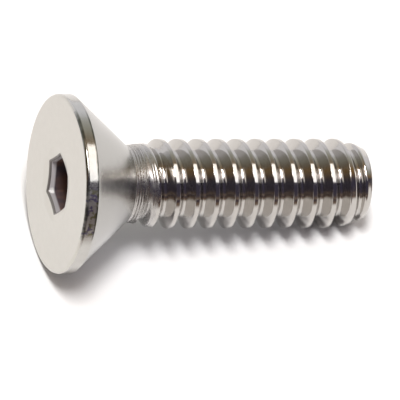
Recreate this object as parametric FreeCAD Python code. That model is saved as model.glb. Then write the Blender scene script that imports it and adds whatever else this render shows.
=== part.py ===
import FreeCAD, Part
import math
import os

# Countersunk (82 degree) hex-socket flat-head machine screw, #6-32 UNC x 1/2 in,
# cold headed from wire and thread rolled: one solid.
#
# It is drawn first in its own screw frame (z along the shank, head face at z = 0,
# point at z = L), then laid down the way it comes to rest on a flat surface: on
# the rim of the head and on the last full thread crests near the point.
# Row frame: +Z up, +X from the head towards the point, origin on the surface
# under the middle of the part. Millimetres.

V = FreeCAD.Vector

# ---------------------------------------------------------------- dimensions
inch = 25.4

length = 12.35              # overall, head face to point (1/2 in nominal, minus tolerance)

# head
head_d = 6.84               # actual diameter over the rolled-over edge
head_angle = 82.0           # included angle of the cone
land_end = 0.50             # the cylindrical land of the rim ends here
face_edge_r = 0.13          # rounding from the face into the land
land_edge_r = 0.05          # rounding from the land into the cone
neck_fillet_r = 0.08        # fillet under the head
dish_d = 2.84               # the punch draws the face in round the socket, from here
dish_slope = 13.0           # by this slope, degrees

# shank
neck_d = 2.97               # plain shank under the head, about the pitch diameter
blank_d = 3.03              # where the rolling dies first touched
blank_start = 3.06          # step from the plain shank to that diameter
blank_step = 0.04
ramp_start = 3.36           # the crests begin to rise out of the blank
ramp_end = 3.94             # and have full height from here on

# thread, UNC 6-32, rolled
pitch = inch / 32.0         # 0.79375
major_d = 3.42
flank_angle = 60.0          # included
root_r = 0.114              # rounded root, 0.144 x pitch
root_bottom_r = 1.267       # radius of the root's lowest line
groove_fade_start = 3.42    # the groove starts at no depth here
groove_fade_end = 4.20      # and is at full depth here
crest_phase = 0.352         # a crest passes z = crest_phase (+ n x pitch) at view_roll

# point: the last crests taper gently, then the chamfer runs to the flat end
taper_start = 11.30
taper_end = 12.06
taper_d = 3.008             # at taper_end
point_d = 2.714             # flat end
point_edge_r = 0.05         # rounding of the end's edge

# hexagon socket, 5/64 in key
socket_af = 2.00            # across flats
socket_depth = 1.72         # full hexagon depth (key engagement)
socket_bevel = 0.075        # rolled-in edge at the mouth, width at the flats
socket_bevel_depth = 0.09   # and depth
socket_cone = 118.0         # included angle of the punched bottom
hex_phase = 13.0            # a corner lies at this angle from view_roll, degrees

# how it lies: the roll about its own axis that the part is drawn at.
# view_roll is the direction, counted in degrees from the front (-Y) upwards,
# from which crest_phase and hex_phase are counted.
view_roll = 44.8

# ---------------------------------------------------------------- head and shank
R = head_d / 2
half = math.radians(head_angle / 2)
r_neck = neck_d / 2
r_blank = blank_d / 2
r_major = major_d / 2
r_point = point_d / 2


def pt(r, z):
    return V(r, 0, z)


def line(a, b):
    return Part.LineSegment(a, b).toShape()


def arc3(a, m, b):
    return Part.Arc(a, m, b).toShape()


# cone line: r = R - (z - land_end) * tan(half)
def cone_r(z):
    return R - (z - land_end) * math.tan(half)


# rounding between two straight lines of the profile, as three points
def round_corner(p0, pc, p1, rad):
    a = (p0 - pc)
    b = (p1 - pc)
    a.normalize()
    b.normalize()
    ang = a.getAngle(b)
    back = rad / math.tan(ang / 2)
    s = pc + a * back
    e = pc + b * back
    mid = a + b
    mid.normalize()
    m = pc + mid * (rad / math.sin(ang / 2) - rad)
    return s, m, e


z_cone_neck = land_end + (R - r_neck) / math.tan(half)
r_taper = taper_d / 2

corners = [
    (pt(0, 0), 0),
    (pt(R, 0), face_edge_r),
    (pt(R, land_end), land_edge_r),
    (pt(r_neck, z_cone_neck), neck_fillet_r),
    (pt(r_neck, blank_start), 0),
    (pt(r_blank, blank_start + blank_step), 0),
    (pt(r_blank, ramp_start), 0),
    (pt(r_major, ramp_end), 0),
    (pt(r_major, taper_start), 0),
    (pt(r_taper, taper_end), 0),
    (pt(r_point, length), point_edge_r),
    (pt(0, length), 0),
]

edges = []
last = corners[0][0]
for i in range(1, len(corners)):
    p, rad = corners[i]
    if rad > 0:
        s, m, e = round_corner(corners[i - 1][0], p, corners[i + 1][0], rad)
        edges.append(line(last, s))
        edges.append(arc3(s, m, e))
        last = e
    else:
        edges.append(line(last, p))
        last = p
edges.append(line(last, corners[0][0]))
profile = Part.Face(Part.Wire(edges))
blank = profile.revolve(V(0, 0, 0), V(0, 0, 1), 360)

# ---------------------------------------------------------------- thread groove
# 60 degree groove with a rounded root, swept along a right-hand helix. Beyond the
# crests its sides run parallel, so that neighbouring turns stay apart.
tan_f = math.tan(math.radians(flank_angle / 2))
sin_f = math.sin(math.radians(flank_angle / 2))
cos_f = math.cos(math.radians(flank_angle / 2))
r_centre = root_bottom_r + root_r            # centre of the root's arc
r_apex = r_centre - root_r / sin_f           # where the flanks would meet
r_tan = r_centre - root_r * sin_f
w_tan = root_r * cos_f
r_out = r_major + 0.02
w_out = (r_out - r_apex) * tan_f
r_far = r_major + 0.25

helix = Part.makeHelix(pitch, pitch, r_centre)      # one turn

section = Part.Wire([
    line(pt(r_far, -w_out), pt(r_out, -w_out)),
    line(pt(r_out, -w_out), pt(r_tan, -w_tan)),
    arc3(pt(r_tan, -w_tan), pt(root_bottom_r, 0), pt(r_tan, w_tan)),
    line(pt(r_tan, w_tan), pt(r_out, w_out)),
    line(pt(r_out, w_out), pt(r_far, w_out)),
    line(pt(r_far, w_out), pt(r_far, -w_out)),
])
one_turn = Part.Wire(helix).makePipeShell([section], True, True)

# The screw frame's x axis points up (away from the surface) and its y axis points to
# the front, so an angle counted from the front upwards is 90 degrees minus this one.
# At angle w a crest passes z = crest_phase + pitch * (w - 90 + view_roll) / 360.
crest_at_x = crest_phase + pitch * (view_roll - 90.0) / 360.0
groove_at_x = crest_at_x + pitch / 2

# the core that is left where the groove fades out under the first thread
fade = Part.makeCone(r_blank + 0.02, root_bottom_r - 0.02,
                     groove_fade_end - groove_fade_start,
                     V(0, 0, groove_fade_start), V(0, 0, 1))
fade_neck = Part.makeCylinder(r_blank + 0.02, 2.0, V(0, 0, groove_fade_start - 2.0), V(0, 0, 1))
guard = fade_neck.fuse(fade)

# every turn starts and ends on the x side, so the turns join end to end
screw = blank
z = groove_at_x
while z < groove_fade_start - pitch - w_out:
    z += pitch
while z - w_out < length:
    turn = one_turn.copy()
    turn.translate(V(0, 0, z))
    if z - w_out < groove_fade_end:
        turn = turn.cut(guard)
    screw = screw.cut(turn)
    z += pitch

# ---------------------------------------------------------------- hexagon socket


def hexagon(af, z):
    rc = af / math.sqrt(3.0)
    pts = []
    for k in range(6):
        w = math.radians(90.0 - (view_roll + hex_phase + 60.0 * k))
        pts.append(V(rc * math.cos(w), rc * math.sin(w), z))
    pts.append(pts[0])
    return Part.makePolygon(pts)


prism = Part.Face(hexagon(socket_af, 0)).extrude(V(0, 0, socket_depth))
# the drawn-in funnel round the socket, and the bevel from it into the walls
r_dish = dish_d / 2
tan_d = math.tan(math.radians(dish_slope))
dish = Part.makeCone(r_dish, 0, r_dish * tan_d, V(0, 0, 0), V(0, 0, 1))
z_mouth = (r_dish - socket_af / 2 - socket_bevel) * tan_d      # funnel at the flats
z_bevel = z_mouth + socket_bevel_depth                         # lower end of the bevel
lead = socket_bevel / socket_bevel_depth
mouth = Part.makeLoft([hexagon(socket_af + 2 * lead * z_bevel, 0),
                       hexagon(socket_af, z_bevel)], True, True)
r_bottom = socket_af / 2
bottom = Part.makeCone(r_bottom, 0, r_bottom / math.tan(math.radians(socket_cone / 2)),
                       V(0, 0, socket_depth), V(0, 0, 1))
socket = prism.fuse([dish, mouth, bottom])
screw = screw.cut(socket)
if screw.ShapeType != "Solid":
    screw = max(screw.Solids, key=lambda s: s.Volume)

# ---------------------------------------------------------------- lay it down
# The rest tilt: the surface touches the rim of the head and the furthest-reaching
# crest on the underside, so the tilt is the smallest slope from the rim to any
# point of the crest line. At this roll the last full crest and the first tapered one
# reach equally far, so the part stays at it instead of rolling on.


def crest_radius(z):
    if z < ramp_start or z > length:
        return 0.0
    if z < ramp_end:
        return r_blank + (r_major - r_blank) * (z - ramp_start) / (ramp_end - ramp_start)
    if z < taper_start:
        return r_major
    if z < taper_end:
        return r_major + (r_taper - r_major) * (z - taper_start) / (taper_end - taper_start)
    return r_taper + (r_point - r_taper) * (z - taper_end) / (length - taper_end)


flat_half = (pitch - 2 * (r_major - r_apex) * tan_f) / 2


def lowest_slope():
    # the rim's rounded corner stands at about z = land_end - land_edge_r / 2
    rim_z, rim_r = land_end - land_edge_r * math.tan(half / 2), R
    best = None
    n = 0
    while True:
        done = True
        for step in range(0, 360):
            # down is w = 180 in the screw frame
            w = 180.0 + (step - 180) * 0.5
            z = crest_at_x + pitch * w / 360.0 + n * pitch
            if z > length:
                continue
            done = False
            for edge in (-flat_half, 0.0, flat_half):
                zz = z + edge
                if zz > 6.0:
                    low = crest_radius(zz) * math.cos(math.radians(w - 180.0))
                    m = (rim_r - low) / (zz - rim_z)
                    if best is None or m < best[0]:
                        best = (m, zz, w)
        n += 1
        if done:
            return best


slope, touch_z, touch_w = lowest_slope()
rest_tilt = math.degrees(math.atan(slope))

# screw frame -> row frame: z to (cos t, 0, -sin t), x to (sin t, 0, cos t), y to -Y
t = math.radians(rest_tilt)
m = FreeCAD.Matrix()
m.A11, m.A12, m.A13 = math.sin(t), 0.0, math.cos(t)
m.A21, m.A22, m.A23 = 0.0, -1.0, 0.0
m.A31, m.A32, m.A33 = math.cos(t), 0.0, -math.sin(t)
screw = screw.transformed(m)

box = screw.optimalBoundingBox(True, False)
move = V(-(box.XMin + box.XMax) / 2, -(box.YMin + box.YMax) / 2, -box.ZMin)
screw.translate(move)

os.makedirs("parts", exist_ok=True)
screw.exportStep("parts/screw.step")

# ---------------------------------------------------------------- figures for the record
face_centre = m.multiply(V(0, 0, 0)) + move
axis = m.multiply(V(0, 0, 1))
print("solids", len(screw.Solids), "valid", screw.isValid(), "closed", screw.Solids[0].isClosed())
print("volume mm3", round(screw.Volume, 4), "faces", len(screw.Faces))
print("rest tilt deg", round(rest_tilt, 4), "touches at z", round(touch_z, 3), "angle", touch_w)
print("box", [round(v, 4) for v in (box.XLength, box.YLength, box.ZLength)])
print("face centre", [round(v, 5) for v in face_centre], "axis", [round(v, 6) for v in axis])
print("move", [round(v, 5) for v in move], "cone meets neck at", round(z_cone_neck, 4))
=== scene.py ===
import math

import bmesh
import bpy
import numpy as np
from mathutils import Matrix, Vector, noise


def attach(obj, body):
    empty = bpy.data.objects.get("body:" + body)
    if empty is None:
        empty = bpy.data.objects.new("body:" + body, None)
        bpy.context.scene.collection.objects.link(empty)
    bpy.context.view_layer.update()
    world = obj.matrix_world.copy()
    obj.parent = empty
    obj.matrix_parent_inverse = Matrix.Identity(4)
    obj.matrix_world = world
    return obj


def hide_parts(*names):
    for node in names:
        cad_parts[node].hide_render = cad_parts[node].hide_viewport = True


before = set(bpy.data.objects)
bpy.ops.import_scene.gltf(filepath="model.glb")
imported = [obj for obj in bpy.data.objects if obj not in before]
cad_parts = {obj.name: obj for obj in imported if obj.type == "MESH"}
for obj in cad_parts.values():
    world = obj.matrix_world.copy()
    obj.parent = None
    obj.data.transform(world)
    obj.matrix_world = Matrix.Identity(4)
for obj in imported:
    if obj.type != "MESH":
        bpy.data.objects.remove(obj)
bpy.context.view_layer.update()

# ------------------------------------------------------------------ dimensions, mm
INCH = 25.4
LENGTH = 12.35
HEAD_R = 3.42
HALF = math.radians(41.0)        # cone, half angle
LAND_END = 0.50
FACE_EDGE_R = 0.13
LAND_EDGE_R = 0.05
NECK_FILLET_R = 0.08
NECK_R = 1.485
BLANK_R = 1.515
BLANK_START = 3.06
BLANK_STEP = 0.04
RAMP_START = 3.36
RAMP_END = 3.94
PITCH = INCH / 32.0
MAJOR_R = 1.71
TAN_F = math.tan(math.radians(30.0))
ROOT_R = 0.114
ROOT_BOTTOM = 1.267
FADE_START = 3.42                # the groove fades in from here at the top of the picture
FADE_LENGTH = 0.70
FADE_SKEW = 0.60                 # and this much sooner on the side turned down
CREST_PHASE = 0.352
LINES_START = 2.775
LINES_PITCH = 0.105
LINES_DEPTH = 0.032
LIPS = ((-0.15, 0.060, 0.022), (-0.060, 0.030, -0.022), (0.025, 0.032, 0.014), (0.125, 0.035, -0.026))
TAPER_START = 11.30
TAPER_END = 12.06
TAPER_R = 1.504
POINT_R = 1.357
SOCKET_AF = 2.00
SOCKET_DEPTH = 1.72
SOCKET_BEVEL = 0.075
SOCKET_BEVEL_DEPTH = 0.09
DISH_R = 1.42                    # the face is drawn in from here towards the socket
DISH_TAN = math.tan(math.radians(13.0))
SOCKET_CONE = 118.0
HEX_PHASE = 13.0
VIEW_ROLL = 44.8
TILT = math.radians(9.1959)      # the axis dips by this towards the point
FACE_C = np.array([-5.93821, 0.0, 3.45792])   # centre of the head's face, row frame

AX = np.array([math.cos(TILT), 0.0, -math.sin(TILT)])    # head to point
UP = np.array([math.sin(TILT), 0.0, math.cos(TILT)])     # screw frame x
FR = np.array([0.0, -1.0, 0.0])                          # screw frame y, towards the front

N = 192                                                  # columns round the axis

# ------------------------------------------------------------------ profile of the thread
R_CENTRE = ROOT_BOTTOM + ROOT_R
R_APEX = R_CENTRE - ROOT_R / 0.5
W_TAN = ROOT_R * math.cos(math.radians(30.0))
FLAT = PITCH / 2 - (MAJOR_R - R_APEX) * TAN_F            # half width of the crest's flat
CREST_ROUND = 0.013


def smin(a, b, k):
    """Smooth minimum, rounding the corner over about k."""
    h = np.clip(0.5 + 0.5 * (b - a) / k, 0.0, 1.0)
    return b + (a - b) * h - k * h * (1.0 - h)


def smax(a, b, k):
    return -smin(-a, -b, k)


def sstep(x, a, b):
    u = np.clip((x - a) / (b - a), 0.0, 1.0)
    return u * u * (3.0 - 2.0 * u)


def front(w):
    """Angle in degrees from the side that faces the camera, upwards in the picture, -180 to 180."""
    return np.mod(90.0 - VIEW_ROLL - np.degrees(w) + 180.0, 360.0) - 180.0


def wave(x, y, z):
    return noise.noise(Vector((x, y, z)))


def crest_t(w):
    """Axial place of the crest (mod pitch) at the screw frame's angle w, radians."""
    return CREST_PHASE + PITCH * (np.degrees(w) - 90.0 + VIEW_ROLL) / 360.0


def thread_r(t, w):
    """Full thread profile."""
    q = (t - crest_t(w)) / PITCH
    d = np.abs(q - np.round(q)) * PITCH                  # distance from the crest's centre
    g = PITCH / 2 - d                                    # and from the groove's centre
    root = R_CENTRE - np.sqrt(np.maximum(ROOT_R ** 2 - np.minimum(g, W_TAN) ** 2, 0.0))
    flank = R_APEX + g / TAN_F
    r = np.where(g < W_TAN, root, flank)
    return smin(r, np.full_like(r, MAJOR_R), CREST_ROUND)


def shank_r(t, w):
    """Radius of the shank from the neck to the point, with the run-out under the head."""
    thr = thread_r(t, w)
    # the core the groove fades out of
    f = (t - FADE_START + FADE_SKEW * (1 - np.sin(np.radians(front(w)))) / 2) / FADE_LENGTH
    core = BLANK_R + 0.02 + (ROOT_BOTTOM - BLANK_R - 0.04) * np.clip(f, 0.0, 1.0)
    env = np.interp(t, [BLANK_START, BLANK_START + BLANK_STEP, RAMP_START, RAMP_END, TAPER_START, TAPER_END, LENGTH],
                    [NECK_R, BLANK_R, BLANK_R, MAJOR_R, MAJOR_R, TAPER_R, POINT_R])
    r = smin(smax(thr, core, 0.02), env, 0.012)
    # sharp turning lines on the neck: each falls gently towards the point and steps up again
    u = np.mod((t - LINES_START) / LINES_PITCH, 1.0)
    saw = np.where(u < 0.8, u / 0.8, (1.0 - u) / 0.2)
    r = r - LINES_DEPTH * saw * sstep(t, LINES_START - 0.005, LINES_START + 0.005) * (1 - sstep(t, 3.175, 3.20))
    # lips and laps that the dies raised beside the first, half formed crest: (offset, width, height)
    q = (t - crest_t(w)) / PITCH
    d = (q - np.round(q)) * PITCH
    lips = np.zeros_like(r)
    for off, wide, high in LIPS:
        lips = lips + high * np.exp(-((d - off) / wide) ** 2)
    return r + lips * sstep(t, 3.16, 3.26) * (1 - sstep(t, 3.62, 3.74))


# ------------------------------------------------------------------ mesh
phi = 2.0 * math.pi * np.arange(N) / N
# column 0 stands at a corner of the hexagon
w0 = math.radians(90.0 - (VIEW_ROLL + HEX_PHASE))
W = w0 + phi                                            # angles in the screw frame, growing

verts = []          # screw frame, mm
faces = []
fmat = []


def vert(x, y, z):
    verts.append((x, y, z))
    return len(verts) - 1


def ring(r, t, ang=W):
    r = np.broadcast_to(r, (N,))
    t = np.broadcast_to(t, (N,))
    return [vert(r[i] * math.cos(ang[i]), r[i] * math.sin(ang[i]), t[i]) for i in range(N)]


def bridge(a, b, mat):
    """Faces between two rings; a lies nearer the start of the walk. mat is one zone or one per column."""
    for i in range(N):
        j = (i + 1) % N
        q = [a[i], a[j], b[j], b[i]]
        out = []
        for v in q:
            if v not in out:
                out.append(v)
        if len(out) >= 3:
            faces.append(tuple(out))
            fmat.append(int(mat[i]) if hasattr(mat, "__len__") else mat)


M_FACE, M_LAND, M_CONE, M_NECK, M_THREAD, M_SOCKET, M_POINT, M_EDGE = range(8)


def hex_r(af, ang, rnd=0.02):
    """Radius of a hexagon's outline at the angles, corners at w0 + k x 60 degrees."""
    rel = np.mod(ang - w0, math.pi / 3) - math.pi / 6
    r = (af / 2) / np.cos(rel)
    rc = af / math.sqrt(3.0)
    return smin(r, np.full_like(r, rc - 0.012), rnd)


# socket: from the middle of its bottom outwards and up to the mouth
cone_h = (SOCKET_AF / 2) / math.tan(math.radians(SOCKET_CONE / 2))
apex = vert(0.0, 0.0, SOCKET_DEPTH + cone_h)
prev = None
for f in (0.12, 0.3, 0.5, 0.7, 0.86, 0.97):
    cur = ring(SOCKET_AF / 2 * f, SOCKET_DEPTH + cone_h * (1 - f))
    if prev is None:
        for i in range(N):
            faces.append((apex, cur[i], cur[(i + 1) % N]))
            fmat.append(M_SOCKET)
    else:
        bridge(prev, cur, M_SOCKET)
    prev = cur
# the punch leaves a small shelf in the corners
hx = hex_r(SOCKET_AF, W)
for f in (0.35, 0.8, 1.0):
    cur = ring((SOCKET_AF / 2 - 0.012) * (1 - f) + hx * f, SOCKET_DEPTH + 0.0)
    bridge(prev, cur, M_SOCKET)
    prev = cur
for t in (1.70, 1.60, 1.35, 1.05, 0.80, 0.60, 0.46, 0.38, 0.33, 0.27):
    cur = ring(hx, t)
    bridge(prev, cur, M_SOCKET)
    prev = cur


def dish(r):
    """Depth of the face, drawn in round the socket."""
    return smax((DISH_R - r) * DISH_TAN, np.zeros_like(r), 0.012) * (1 - sstep(r, 1.5, 1.6))


# burnished edge at the mouth: a short wall, then rounded into the face; most of the rounding is painted dark, a
# painted reflection
cur = ring(hx, dish(hx) + SOCKET_BEVEL_DEPTH + 0.03)
bridge(prev, cur, M_SOCKET)
prev = cur
for k in range(0, 8):
    u = k / 7.0 * math.pi / 2
    rm = hex_r(SOCKET_AF + 2 * SOCKET_BEVEL * (1 - math.cos(u)), W)
    cur = ring(rm, dish(rm) + SOCKET_BEVEL_DEPTH * (1 - math.sin(u)))
    bridge(prev, cur, M_SOCKET if k < 2 else M_EDGE)
    prev = cur
hxo = hex_r(SOCKET_AF + 2 * SOCKET_BEVEL, W)
for f in (0.04, 0.25, 0.5, 0.75, 0.88, 0.96, 1.0):
    rm = hxo * (1 - f) + 1.44 * f
    cur = ring(rm, dish(rm))
    bridge(prev, cur, M_FACE)
    prev = cur
r_face = HEAD_R - FACE_EDGE_R
for rm in (1.48, 1.56, 1.7, 1.95, 2.25, 2.55, 2.8, 3.0, 3.13, 3.21, 3.26, 3.28, r_face):
    cur = ring(rm, 0.0)
    bridge(prev, cur, M_FACE)
    prev = cur
# rounded edge of the face; the rim's bright land takes in more of it on the camera's side, and with it the land's
# painted dark edge line, a painted reflection
PHI = front(W)
near = np.where((PHI > -38.0) & (PHI < 55.0), M_LAND, M_FACE)
for k in range(1, 9):
    u = k / 8.0 * math.pi / 2
    cur = ring(r_face + FACE_EDGE_R * math.sin(u), FACE_EDGE_R * (1 - math.cos(u)))
    bridge(prev, cur, M_FACE if k < 3 else near if k < 7 else M_LAND)
    prev = cur
# land of the rim
back = LAND_EDGE_R * math.tan(HALF / 2)
land_rows = np.linspace(FACE_EDGE_R, LAND_END - back, 12)[1:]
# dented where the camera sees its lower half, nearly smooth elsewhere
rough_side = sstep(PHI, -37.0, -33.0) * (1 - sstep(PHI, -9.0, 2.0))
for t in land_rows:
    dent = np.array([
        max(0.0, wave(6.0 * math.cos(w), 6.0 * math.sin(w), t * 5.0) + 0.15) * 0.6
        + max(0.0, wave(19.0 * math.cos(w) + 7.0, 19.0 * math.sin(w), t * 9.0)) for w in W])
    mid = sstep(np.array(t), FACE_EDGE_R, 0.19) * (1 - sstep(np.array(t), 0.43, LAND_END - back))
    cur = ring(HEAD_R - dent * mid * (0.002 + 0.016 * rough_side), t)
    bridge(prev, cur, M_LAND)
    prev = cur
# rounding from the land into the cone
for k in range(1, 5):
    u = HALF * k / 4.0
    cur = ring(HEAD_R - LAND_EDGE_R * (1 - math.cos(u)), LAND_END - back + LAND_EDGE_R * math.sin(u))
    bridge(prev, cur, M_LAND if k < 4 else M_CONE)
    prev = cur
# cone
t_a = LAND_END + back * math.cos(HALF)
t_cone = LAND_END + (HEAD_R - NECK_R) / math.tan(HALF)
fb = NECK_FILLET_R * math.tan(HALF / 2)
t_b = t_cone - fb * math.cos(HALF)
for f in np.linspace(0, 1, 15)[1:]:
    t = t_a + (t_b - t_a) * f
    cur = ring(HEAD_R - (t - LAND_END) * math.tan(HALF), t)
    bridge(prev, cur, M_CONE)
    prev = cur
# fillet under the head
for k in range(1, 8):
    u = HALF * (1 - k / 7.0)
    cur = ring(NECK_R + NECK_FILLET_R * (1 - math.cos(u)), t_cone + fb - NECK_FILLET_R * math.sin(u))
    bridge(prev, cur, M_CONE if k < 4 else M_NECK)
    prev = cur
# neck up to the helical rows
T_JOIN = 3.20
neck_rows = sorted(set([2.768] + [LINES_START + (k + u) * LINES_PITCH for k in range(5)
                                  for u in (0.0, 0.015, 0.40, 0.785, 0.80, 0.815, 0.985)]))
for t in [t for t in neck_rows if t_cone + fb + 0.004 < t < T_JOIN - 0.001] + [T_JOIN]:
    cur = ring(shank_r(np.full(N, t), W), t)
    bridge(prev, cur, M_NECK)
    prev = cur
join = prev

# helical rows: they follow the crests, so the profile is sampled at the same places all round
half_rows = [0.0, 0.035, 0.060, 0.0685, 0.0745, 0.0805, 0.090, 0.125, 0.175, 0.235, 0.283, 0.305, 0.325, 0.345, 0.371]
offs = sorted([-x for x in half_rows[1:]] + half_rows + [PITCH / 2])
K = len(offs)
offs = np.array(offs)
n_lo = int(math.floor((T_JOIN - CREST_PHASE) / PITCH)) - 2
n_hi = int(math.ceil((LENGTH - CREST_PHASE) / PITCH)) + 2
T_END = LENGTH - 0.05
# one line of the thread per row; every K rows it is the next turn
base = np.array([n * PITCH + o for n in range(n_lo, n_hi) for o in offs])
T = np.clip(base[:, None] + crest_t(W)[None, :], T_JOIN, T_END)
Rg = shank_r(T, np.broadcast_to(W, T.shape))
M = len(base)
end = ring(Rg[-1], T_END)
grid = np.empty((M, N), int)
for ri in range(M):
    for i in range(N):
        if T[ri, i] <= T_JOIN:
            grid[ri, i] = join[i]
        elif T[ri, i] >= T_END:
            grid[ri, i] = end[i]
        else:
            grid[ri, i] = vert(Rg[ri, i] * math.cos(W[i]), Rg[ri, i] * math.sin(W[i]), T[ri, i])


def at(ri, i):
    """Vertex of row ri at column i. Past the last column a full turn moves the crest by one pitch."""
    if i < N:
        return int(grid[min(ri, M - 1), i])
    ri += K
    return int(grid[ri, 0]) if ri < M else end[0]


for ri in range(-K, M - 1):
    for i in range(N):
        if ri < 0:
            if i < N - 1:
                continue
            q = [join[i], at(ri, N), at(ri + 1, N), join[i] if ri + 1 < 0 else at(ri + 1, i)]
        else:
            q = [at(ri, i), at(ri, i + 1), at(ri + 1, i + 1), at(ri + 1, i)]
        out = []
        for v in q:
            if v not in out:
                out.append(v)
        if len(out) >= 3:
            faces.append(tuple(out))
            v = verts[out[0]]
            # dull until the first crest
            dull = v[2] < CREST_PHASE + 4 * PITCH - PITCH * front(math.atan2(v[1], v[0])) / 360.0 + 0.04
            fmat.append(M_NECK if dull and v[2] < 3.6 else M_THREAD)
prev = end
# rounded edge of the flat end, and the end face
rim = np.array([math.hypot(verts[v][0], verts[v][1]) for v in prev])
for k in range(1, 6):
    u = k / 5.0 * math.pi / 2
    cur = ring(rim - 0.05 * (1 - math.cos(u)), T_END + 0.05 * math.sin(u))
    bridge(prev, cur, M_POINT)
    prev = cur
rim = rim - 0.05
for f in (0.97, 0.9, 0.75, 0.55, 0.35, 0.15):
    cur = ring(rim * f, LENGTH)
    bridge(prev, cur, M_POINT)
    prev = cur
tip = vert(0.0, 0.0, LENGTH)
for i in range(N):
    faces.append((prev[i], prev[(i + 1) % N], tip))
    fmat.append(M_POINT)

co = np.array(verts)
row = FACE_C + np.outer(co[:, 0], UP) + np.outer(co[:, 1], FR) + np.outer(co[:, 2], AX)
mesh = bpy.data.meshes.new("screw_body")
mesh.from_pydata([tuple(p / 1000.0) for p in row], [], faces)
mesh.update()
screw = bpy.data.objects.new("screw_body", mesh)
bpy.context.scene.collection.objects.link(screw)

# places in the screw's own frame, in mm, for the patterns of the metal, and where the rim is dented and painted dark
# as a painted reflection of the shaded floor
own = mesh.attributes.new("screw_mm", "FLOAT_VECTOR", "POINT")
own.data.foreach_set("vector", co.ravel())
dents_and_painted_reflection = mesh.attributes.new("dents_and_painted_reflection", "FLOAT", "POINT")
PHI_V = front(np.arctan2(co[:, 1], co[:, 0]))
dents_and_painted_reflection.data.foreach_set("value", sstep(PHI_V, -37.0, -34.0) * (1 - sstep(PHI_V, -8.0, 1.0)))
# and where the land's edges get a painted dark line, a painted reflection, on the camera's side
painted_dark_edge = mesh.attributes.new("painted_dark_edge", "FLOAT", "POINT")
painted_dark_edge.data.foreach_set("value", sstep(PHI_V, -39.0, -36.0) * (1 - sstep(PHI_V, 44.0, 58.0)))
mesh.polygons.foreach_set("material_index", fmat)
mesh.polygons.foreach_set("use_smooth", [True] * len(fmat))

bm = bmesh.new()
bm.from_mesh(mesh)
bmesh.ops.delete(bm, geom=[v for v in bm.verts if not v.link_faces], context="VERTS")
bmesh.ops.recalc_face_normals(bm, faces=bm.faces)
bm.to_mesh(mesh)
bm.free()


# ------------------------------------------------------------------ metal
MM = 0.001


def steel(name, color, rough, metal=1.0, spots=0.06, spot_size=3.0, rough_more=0.05, relief=0.0004, along=(1.0, 1.0, 1.0),
          fine=20.0, second=None, tint=None):
    """Bright stainless steel. along stretches the relief's pattern: (round x2, along the axis)."""
    m = bpy.data.materials.new(name)
    m.use_nodes = True
    nt = m.node_tree
    b = nt.nodes["Principled BSDF"]
    b.inputs["Metallic"].default_value = metal
    lk = nt.links.new

    def node(kind, **values):
        n = nt.nodes.new(kind)
        for k, v in values.items():
            setattr(n, k, v)
        return n

    src = node("ShaderNodeAttribute", attribute_name="screw_mm")

    def scaled(v):
        n = node("ShaderNodeVectorMath", operation="MULTIPLY")
        n.inputs[1].default_value = v
        lk(src.outputs["Vector"], n.inputs[0])
        return n.outputs[0]

    def cloud(v, scale, detail=3.0):
        n = node("ShaderNodeTexNoise")
        n.inputs["Scale"].default_value = scale
        n.inputs["Detail"].default_value = detail
        lk(scaled(v), n.inputs["Vector"])
        return n.outputs[0]

    def span(value, lo, hi, a=0.3, b_=0.7):
        n = node("ShaderNodeMapRange")
        n.inputs["From Min"].default_value = a
        n.inputs["From Max"].default_value = b_
        n.inputs["To Min"].default_value = lo
        n.inputs["To Max"].default_value = hi
        lk(value, n.inputs["Value"])
        return n.outputs[0]

    def blend(f, a, c):
        n = node("ShaderNodeMix", data_type="RGBA")
        lk(f, n.inputs[0])
        for sock, v in ((n.inputs[6], a), (n.inputs[7], c)):
            if isinstance(v, tuple):
                sock.default_value = (*v, 1.0)
            else:
                lk(v, sock)
        return n.outputs[2]

    spot = cloud((1.0, 1.0, 1.0), spot_size)
    col = blend(spot, tuple(c * (1 - spots) for c in color), tuple(min(1.0, c * (1 + spots)) for c in color))
    rgh = span(cloud((1.3, 1.3, 1.3), spot_size * 1.7), rough, rough + rough_more)
    height = cloud(along, fine)
    if second:                                   # (weight, size, along) of a coarser relief over the first
        w2, size2, along2 = second
        mul = node("ShaderNodeMath", operation="MULTIPLY")
        mul.inputs[1].default_value = w2
        lk(cloud(along2, size2), mul.inputs[0])
        add = node("ShaderNodeMath", operation="ADD")
        lk(height, add.inputs[0])
        lk(mul.outputs[0], add.inputs[1])
        height = add.outputs[0]
    if tint:
        col, rgh, height = tint(node, lk, src, cloud, span, blend, col, rgh, height)
    bump = node("ShaderNodeBump")
    bump.inputs["Strength"].default_value = 1.0
    bump.inputs["Distance"].default_value = relief * MM
    lk(height, bump.inputs["Height"])
    lk(bump.outputs[0], b.inputs["Normal"])
    lk(col, b.inputs["Base Color"])
    lk(rgh, b.inputs["Roughness"])
    return m


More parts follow.
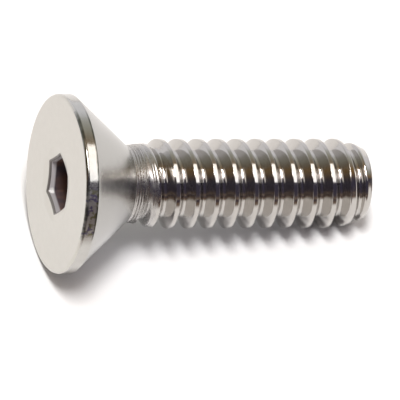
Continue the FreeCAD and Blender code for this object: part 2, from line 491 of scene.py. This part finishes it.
def land_dents_and_painted_reflection(node, lk, src, cloud, span, blend, col, rgh, height):
    """Dimples where the rim is dented, with dark olive and purple specks there painted in as a painted reflection of
    the shaded floor.
    """
    w = node("ShaderNodeAttribute", attribute_name="dents_and_painted_reflection")
    sp = span(cloud((1.0, 1.0, 0.8), 7.0, 4.0), 0.0, 1.0, 0.46, 0.56)
    f = node("ShaderNodeMath", operation="MULTIPLY")
    lk(sp, f.inputs[0])
    lk(w.outputs["Fac"], f.inputs[1])
    hue = span(cloud((1.0, 1.0, 1.0), 3.0, 1.0), 0.0, 1.0, 0.42, 0.58)
    dark = blend(hue, (0.20, 0.18, 0.29), (0.25, 0.25, 0.14))
    # painted reflection: dark olive and purple specks stand for the shaded floor seen in the dented rim
    col = blend(f.outputs[0], col, dark)
    # painted reflection: dark lines along both edges of the land, on the camera's side only
    sep = node("ShaderNodeSeparateXYZ")
    lk(src.outputs["Vector"], sep.inputs[0])
    edge = node("ShaderNodeMath", operation="MAXIMUM")
    lk(span(sep.outputs["Z"], 1.0, 0.0, 0.100, 0.145), edge.inputs[0])
    lk(span(sep.outputs["Z"], 0.0, 1.0, 0.425, 0.465), edge.inputs[1])
    part_ = node("ShaderNodeMath", operation="MULTIPLY")
    lk(edge.outputs[0], part_.inputs[0])
    lk(span(cloud((1.0, 1.0, 0.0), 2.5, 3.0), 0.45, 0.90, 0.40, 0.60), part_.inputs[1])
    side = node("ShaderNodeMath", operation="MULTIPLY")
    lk(part_.outputs[0], side.inputs[0])
    lk(node("ShaderNodeAttribute", attribute_name="painted_dark_edge").outputs["Fac"], side.inputs[1])
    col = blend(side.outputs[0], col, (0.10, 0.105, 0.090))
    # and duller there
    dull = node("ShaderNodeMath", operation="MULTIPLY_ADD")
    dull.inputs[1].default_value = 0.27
    lk(w.outputs["Fac"], dull.inputs[0])
    lk(rgh, dull.inputs[2])
    rgh = dull.outputs[0]
    # deeper relief there: height x (0.25 + dents_and_painted_reflection)
    g = node("ShaderNodeMath", operation="ADD")
    g.inputs[1].default_value = 0.12
    lk(w.outputs["Fac"], g.inputs[0])
    h = node("ShaderNodeMath", operation="MULTIPLY")
    lk(height, h.inputs[0])
    lk(g.outputs[0], h.inputs[1])
    return col, rgh, h.outputs[0]


# corner of the socket that gets a painted highlight
GLINT_CORNER_W = w0 + math.pi             # the corner away from the camera
GLINT_CORNER_R = SOCKET_AF / math.sqrt(3.0) - 0.02


def painted_shade_side(node, lk, src, span):
    """The side of the socket above that corner, painted a little darker than the side below it: painted shade."""
    d = node("ShaderNodeVectorMath", operation="DOT_PRODUCT")
    lk(src.outputs["Vector"], d.inputs[0])
    a = GLINT_CORNER_W - math.pi / 2
    d.inputs[1].default_value = (math.cos(a), math.sin(a), 0.0)
    return span(d.outputs["Value"], 0.0, 1.0, 0.02, 0.10)


def socket_painted_shade(node, lk, src, cloud, span, blend, col, rgh, height):
    """The punched walls turn dull below the burnished edge, and are painted dark brown there as painted shade inside
    the socket.
    """
    sep = node("ShaderNodeSeparateXYZ")
    lk(src.outputs["Vector"], sep.inputs[0])
    # painted shade: brown to near-black from 0.30 mm deep down, where shade falls in the socket
    deep = span(sep.outputs["Z"], 0.0, 1.0, 0.30, 0.365)
    hue = span(cloud((1.0, 1.0, 0.6), 1.6, 2.0), 0.0, 1.0, 0.35, 0.65)
    dark = blend(hue, (0.055, 0.043, 0.055), (0.17, 0.092, 0.066))
    # painted highlight: a near-white spot in one corner, standing for the lamp's glint
    away = node("ShaderNodeVectorMath", operation="DISTANCE")
    lk(src.outputs["Vector"], away.inputs[0])
    away.inputs[1].default_value = (GLINT_CORNER_R * math.cos(GLINT_CORNER_W), GLINT_CORNER_R * math.sin(GLINT_CORNER_W), 0.25)
    col = blend(span(away.outputs["Value"], 1.0, 0.0, 0.07, 0.15), blend(painted_shade_side(node, lk, src, span), col, (0.44, 0.42, 0.43)),
                (0.98, 0.97, 0.95))
    col = blend(deep, col, dark)
    more = node("ShaderNodeMath", operation="MULTIPLY_ADD")
    more.inputs[1].default_value = 0.22
    lk(deep, more.inputs[0])
    lk(rgh, more.inputs[2])
    return col, more.outputs[0], height


METALS = {
    M_FACE: steel("steel_face", (0.605, 0.588, 0.548), 0.30, spots=0.03, relief=0.0005, fine=26.0),
    M_LAND: steel("steel_rim", (0.54, 0.53, 0.505), 0.12, relief=0.006, fine=9.0, along=(1.0, 1.0, 1.0),
                  second=(0.5, 22.0, (1.0, 1.0, 1.0)), tint=land_dents_and_painted_reflection),
    M_CONE: steel("steel_cone", (0.472, 0.466, 0.450), 0.185, spots=0.04, relief=0.0007, fine=10.0,
                  along=(0.35, 0.35, 2.5)),
    M_NECK: steel("steel_neck", (0.50, 0.485, 0.47), 0.22, spots=0.14, rough_more=0.12, relief=0.0016, fine=5.0,
                  along=(0.10, 0.10, 2.0), second=(0.5, 24.0, (0.05, 0.05, 1.0))),
    M_THREAD: steel("steel_thread", (0.54, 0.52, 0.495), 0.10, spots=0.05, relief=0.0004, fine=9.0,
                    along=(0.5, 0.5, 2.0), second=(0.5, 30.0, (1.0, 1.0, 1.0))),
    M_SOCKET: steel("steel_socket", (0.62, 0.59, 0.60), 0.42, spots=0.06, relief=0.0012, fine=14.0,
                    along=(1.4, 1.4, 0.25), metal=0.25, tint=socket_painted_shade),
    M_POINT: steel("steel_point", (0.60, 0.585, 0.565), 0.24, relief=0.001, fine=12.0),
    # painted reflection: the mouth's rounding painted dark
    M_EDGE: steel("steel_socket_edge_painted_dark", (0.20, 0.185, 0.175), 0.34, spots=0.06, relief=0.0008, fine=14.0, metal=0.5),
}
for k in range(8):
    mesh.materials.append(METALS[k])
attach(screw, "root")
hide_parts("screw")

# ------------------------------------------------------------------ floor
fm = bpy.data.meshes.new("floor")
s = 0.6
fm.from_pydata([(-s, -s, 0), (s, -s, 0), (s, s, 0), (-s, s, 0)], [], [(0, 1, 2, 3)])
floor = bpy.data.objects.new("floor", fm)
bpy.context.scene.collection.objects.link(floor)
fmtl = bpy.data.materials.new("floor_paper")
fmtl.use_nodes = True
fb_ = fmtl.node_tree.nodes["Principled BSDF"]
fb_.inputs["Base Color"].default_value = (0.88, 0.88, 0.88, 1.0)
fb_.inputs["Roughness"].default_value = 0.9
fb_.inputs["Specular IOR Level"].default_value = 0.1
fm.materials.append(fmtl)

# ------------------------------------------------------------------ camera
ALPHA = math.radians(-19.87)
ELEV = math.radians(45.0)
ROLL = math.radians(7.62 - 0.15)
SCALE = 26.28                    # picture points per mm
back_v = Vector((math.sin(ALPHA) * math.cos(ELEV), -math.cos(ALPHA) * math.cos(ELEV), math.sin(ELEV)))
right0 = Vector((math.cos(ALPHA), math.sin(ALPHA), 0.0))
up0 = Vector((-math.sin(ALPHA) * math.sin(ELEV), math.cos(ALPHA) * math.sin(ELEV), math.cos(ELEV)))
right_v = right0 * math.cos(ROLL) + up0 * math.sin(ROLL)
up_v = -right0 * math.sin(ROLL) + up0 * math.cos(ROLL)
LENS = 1400.0
cam_d = bpy.data.cameras.new("camera")
cam_d.sensor_width = 36.0
cam_d.lens = LENS
cam = bpy.data.objects.new("camera", cam_d)
bpy.context.scene.collection.objects.link(cam)
dist = 400.0 / SCALE * LENS / 36.0
F = Vector(FACE_C.tolist())
aim = F + right_v * ((200.0 - 56.4) / SCALE) - up_v * ((200.0 - 184.0) / SCALE) - back_v * 2.28
pos = aim + back_v * dist
rot = Matrix((right_v, up_v, back_v)).transposed()
cam.matrix_world = Matrix.Translation(pos / 1000.0) @ rot.to_4x4()
cam_d.clip_start = 0.01
cam_d.clip_end = 20.0
bpy.context.scene.camera = cam

# ------------------------------------------------------------------ light
def lamp(name, towards, half_x, half_y, radiance, color=(1.0, 1.0, 1.0), away=1.2):
    """A square softbox in the direction towards, half_x degrees along the axis and half_y across."""
    d = Vector(towards).normalized()
    light = bpy.data.lights.new(name, "AREA")
    light.shape = "RECTANGLE"
    light.color = color
    light.size = 2 * away * math.tan(math.radians(half_x))
    light.size_y = 2 * away * math.tan(math.radians(half_y))
    light.energy = radiance * math.pi * light.size * light.size_y
    o = bpy.data.objects.new(name, light)
    bpy.context.scene.collection.objects.link(o)
    x = Vector(AX.tolist())
    x = (x - d * x.dot(d)).normalized()
    y = d.cross(x)
    o.matrix_world = Matrix.Translation(d * away) @ Matrix((x, y, d)).transposed().to_4x4()
    return o


def across(chi, along):
    """Direction at chi degrees from the front upwards, square to the axis, leaning along the axis."""
    c = math.radians(chi)
    k = math.sqrt(1 - along * along)
    return (FR * math.cos(c) + UP * math.sin(c)) * k + AX * along


PALE = (1.0, 0.94, 0.98)
lamp("key", (-0.105, -0.235, 1.0), 5.2, 11.5, 36.5)
lamp("ceiling", across(68.0, -0.10), 20.0, 9.5, 2.15, PALE)
lamp("ceiling_wide", across(72.0, 0.36), 4.6, 22.5, 2.0, (1.0, 0.985, 0.975))

# a sheet over the floor in front, seen only in the metal, painted brown as painted shade of that floor
cm = bpy.data.meshes.new("front_floor_shade_card")
cm.from_pydata([(-0.2, -0.4, 0.0004), (0.3, -0.4, 0.0004), (0.3, -0.0055, 0.0004), (-0.2, -0.0055, 0.0004)],
               [], [(0, 1, 2, 3)])
card = bpy.data.objects.new("front_floor_shade_card", cm)
bpy.context.scene.collection.objects.link(card)
card_m = bpy.data.materials.new("front_floor_painted_shade")
card_m.use_nodes = True
nt = card_m.node_tree
cb = nt.nodes["Principled BSDF"]
cb.inputs["Roughness"].default_value = 0.9
cb.inputs["Specular IOR Level"].default_value = 0.0
ctc = nt.nodes.new("ShaderNodeTexCoord")
csep = nt.nodes.new("ShaderNodeSeparateXYZ")
cmap = nt.nodes.new("ShaderNodeMapRange")
cmap.inputs["From Min"].default_value = -0.0066
cmap.inputs["From Max"].default_value = -0.0110
cmix = nt.nodes.new("ShaderNodeMix")
cmix.data_type = "RGBA"
cmix.inputs[6].default_value = (0.88, 0.88, 0.88, 1.0)
cmix.inputs[7].default_value = (0.155, 0.108, 0.078, 1.0)
nt.links.new(ctc.outputs["Object"], csep.inputs[0])
nt.links.new(csep.outputs["Y"], cmap.inputs["Value"])
nt.links.new(cmap.outputs[0], cmix.inputs[0])
# painted shade, darker again farther off
cfar = nt.nodes.new("ShaderNodeMapRange")
cfar.inputs["From Min"].default_value = -0.016
cfar.inputs["From Max"].default_value = -0.026
cdark = nt.nodes.new("ShaderNodeMix")
cdark.data_type = "RGBA"
cdark.inputs[7].default_value = (0.050, 0.042, 0.055, 1.0)
nt.links.new(csep.outputs["Y"], cfar.inputs["Value"])
nt.links.new(cfar.outputs[0], cdark.inputs[0])
nt.links.new(cmix.outputs[2], cdark.inputs[6])
nt.links.new(cdark.outputs[2], cb.inputs["Base Color"])
cm.materials.append(card_m)
card.visible_camera = False
card.visible_shadow = False
card.visible_diffuse = False

world = bpy.data.worlds.new("studio")
bpy.context.scene.world = world
world.use_nodes = True
nt = world.node_tree
nt.nodes.clear()
lk = nt.links.new


def wnode(kind, **values):
    n = nt.nodes.new(kind)
    for k, v in values.items():
        setattr(n, k, v)
    return n


tc = wnode("ShaderNodeTexCoord")
sep = wnode("ShaderNodeSeparateXYZ")
lk(tc.outputs["Generated"], sep.inputs[0])
neg = wnode("ShaderNodeMath", operation="MULTIPLY")
neg.inputs[1].default_value = -1.0
lk(sep.outputs["Y"], neg.inputs[0])
turn = wnode("ShaderNodeMath", operation="ARCTAN2")
lk(sep.outputs["Z"], turn.inputs[0])
lk(neg.outputs[0], turn.inputs[1])
part = wnode("ShaderNodeMath", operation="DIVIDE")
part.inputs[1].default_value = math.pi
lk(turn.outputs[0], part.inputs[0])
ramp = wnode("ShaderNodeValToRGB")
# degrees from the front horizon over the top to the back
stops = [
    (0, (0.26, 0.19, 0.14)), (5, (0.16, 0.12, 0.10)), (9, (0.072, 0.060, 0.080)), (30, (0.056, 0.050, 0.080)),
    (50, (0.062, 0.056, 0.080)), (91, (0.30, 0.18, 0.06)), (103, (0.27, 0.215, 0.15)), (122, (0.40, 0.39, 0.33)),
    (139, (0.56, 0.56, 0.53)), (150, (0.86, 0.86, 0.90)), (180, (0.98, 0.97, 1.0)),
]
el = ramp.color_ramp.elements
el[0].position = 0.0
el[0].color = (*stops[0][1], 1)
el[1].position = 1.0
el[1].color = (*stops[-1][1], 1)
for deg, c in stops[1:-1]:
    e = el.new(deg / 180.0)
    e.color = (*c, 1)
lk(part.outputs[0], ramp.inputs[0])

bgs = wnode("ShaderNodeBackground")
lk(ramp.outputs["Color"], bgs.inputs["Color"])
bgc = wnode("ShaderNodeBackground")
bgc.inputs["Color"].default_value = (1, 1, 1, 1)
lp = wnode("ShaderNodeLightPath")
mix = wnode("ShaderNodeMixShader")
out = wnode("ShaderNodeOutputWorld")
lk(lp.outputs["Is Camera Ray"], mix.inputs[0])
lk(bgs.outputs[0], mix.inputs[1])
lk(bgc.outputs[0], mix.inputs[2])
lk(mix.outputs[0], out.inputs[0])

vs = bpy.context.scene.view_settings
vs.view_transform = "Standard"
vs.look = "None"
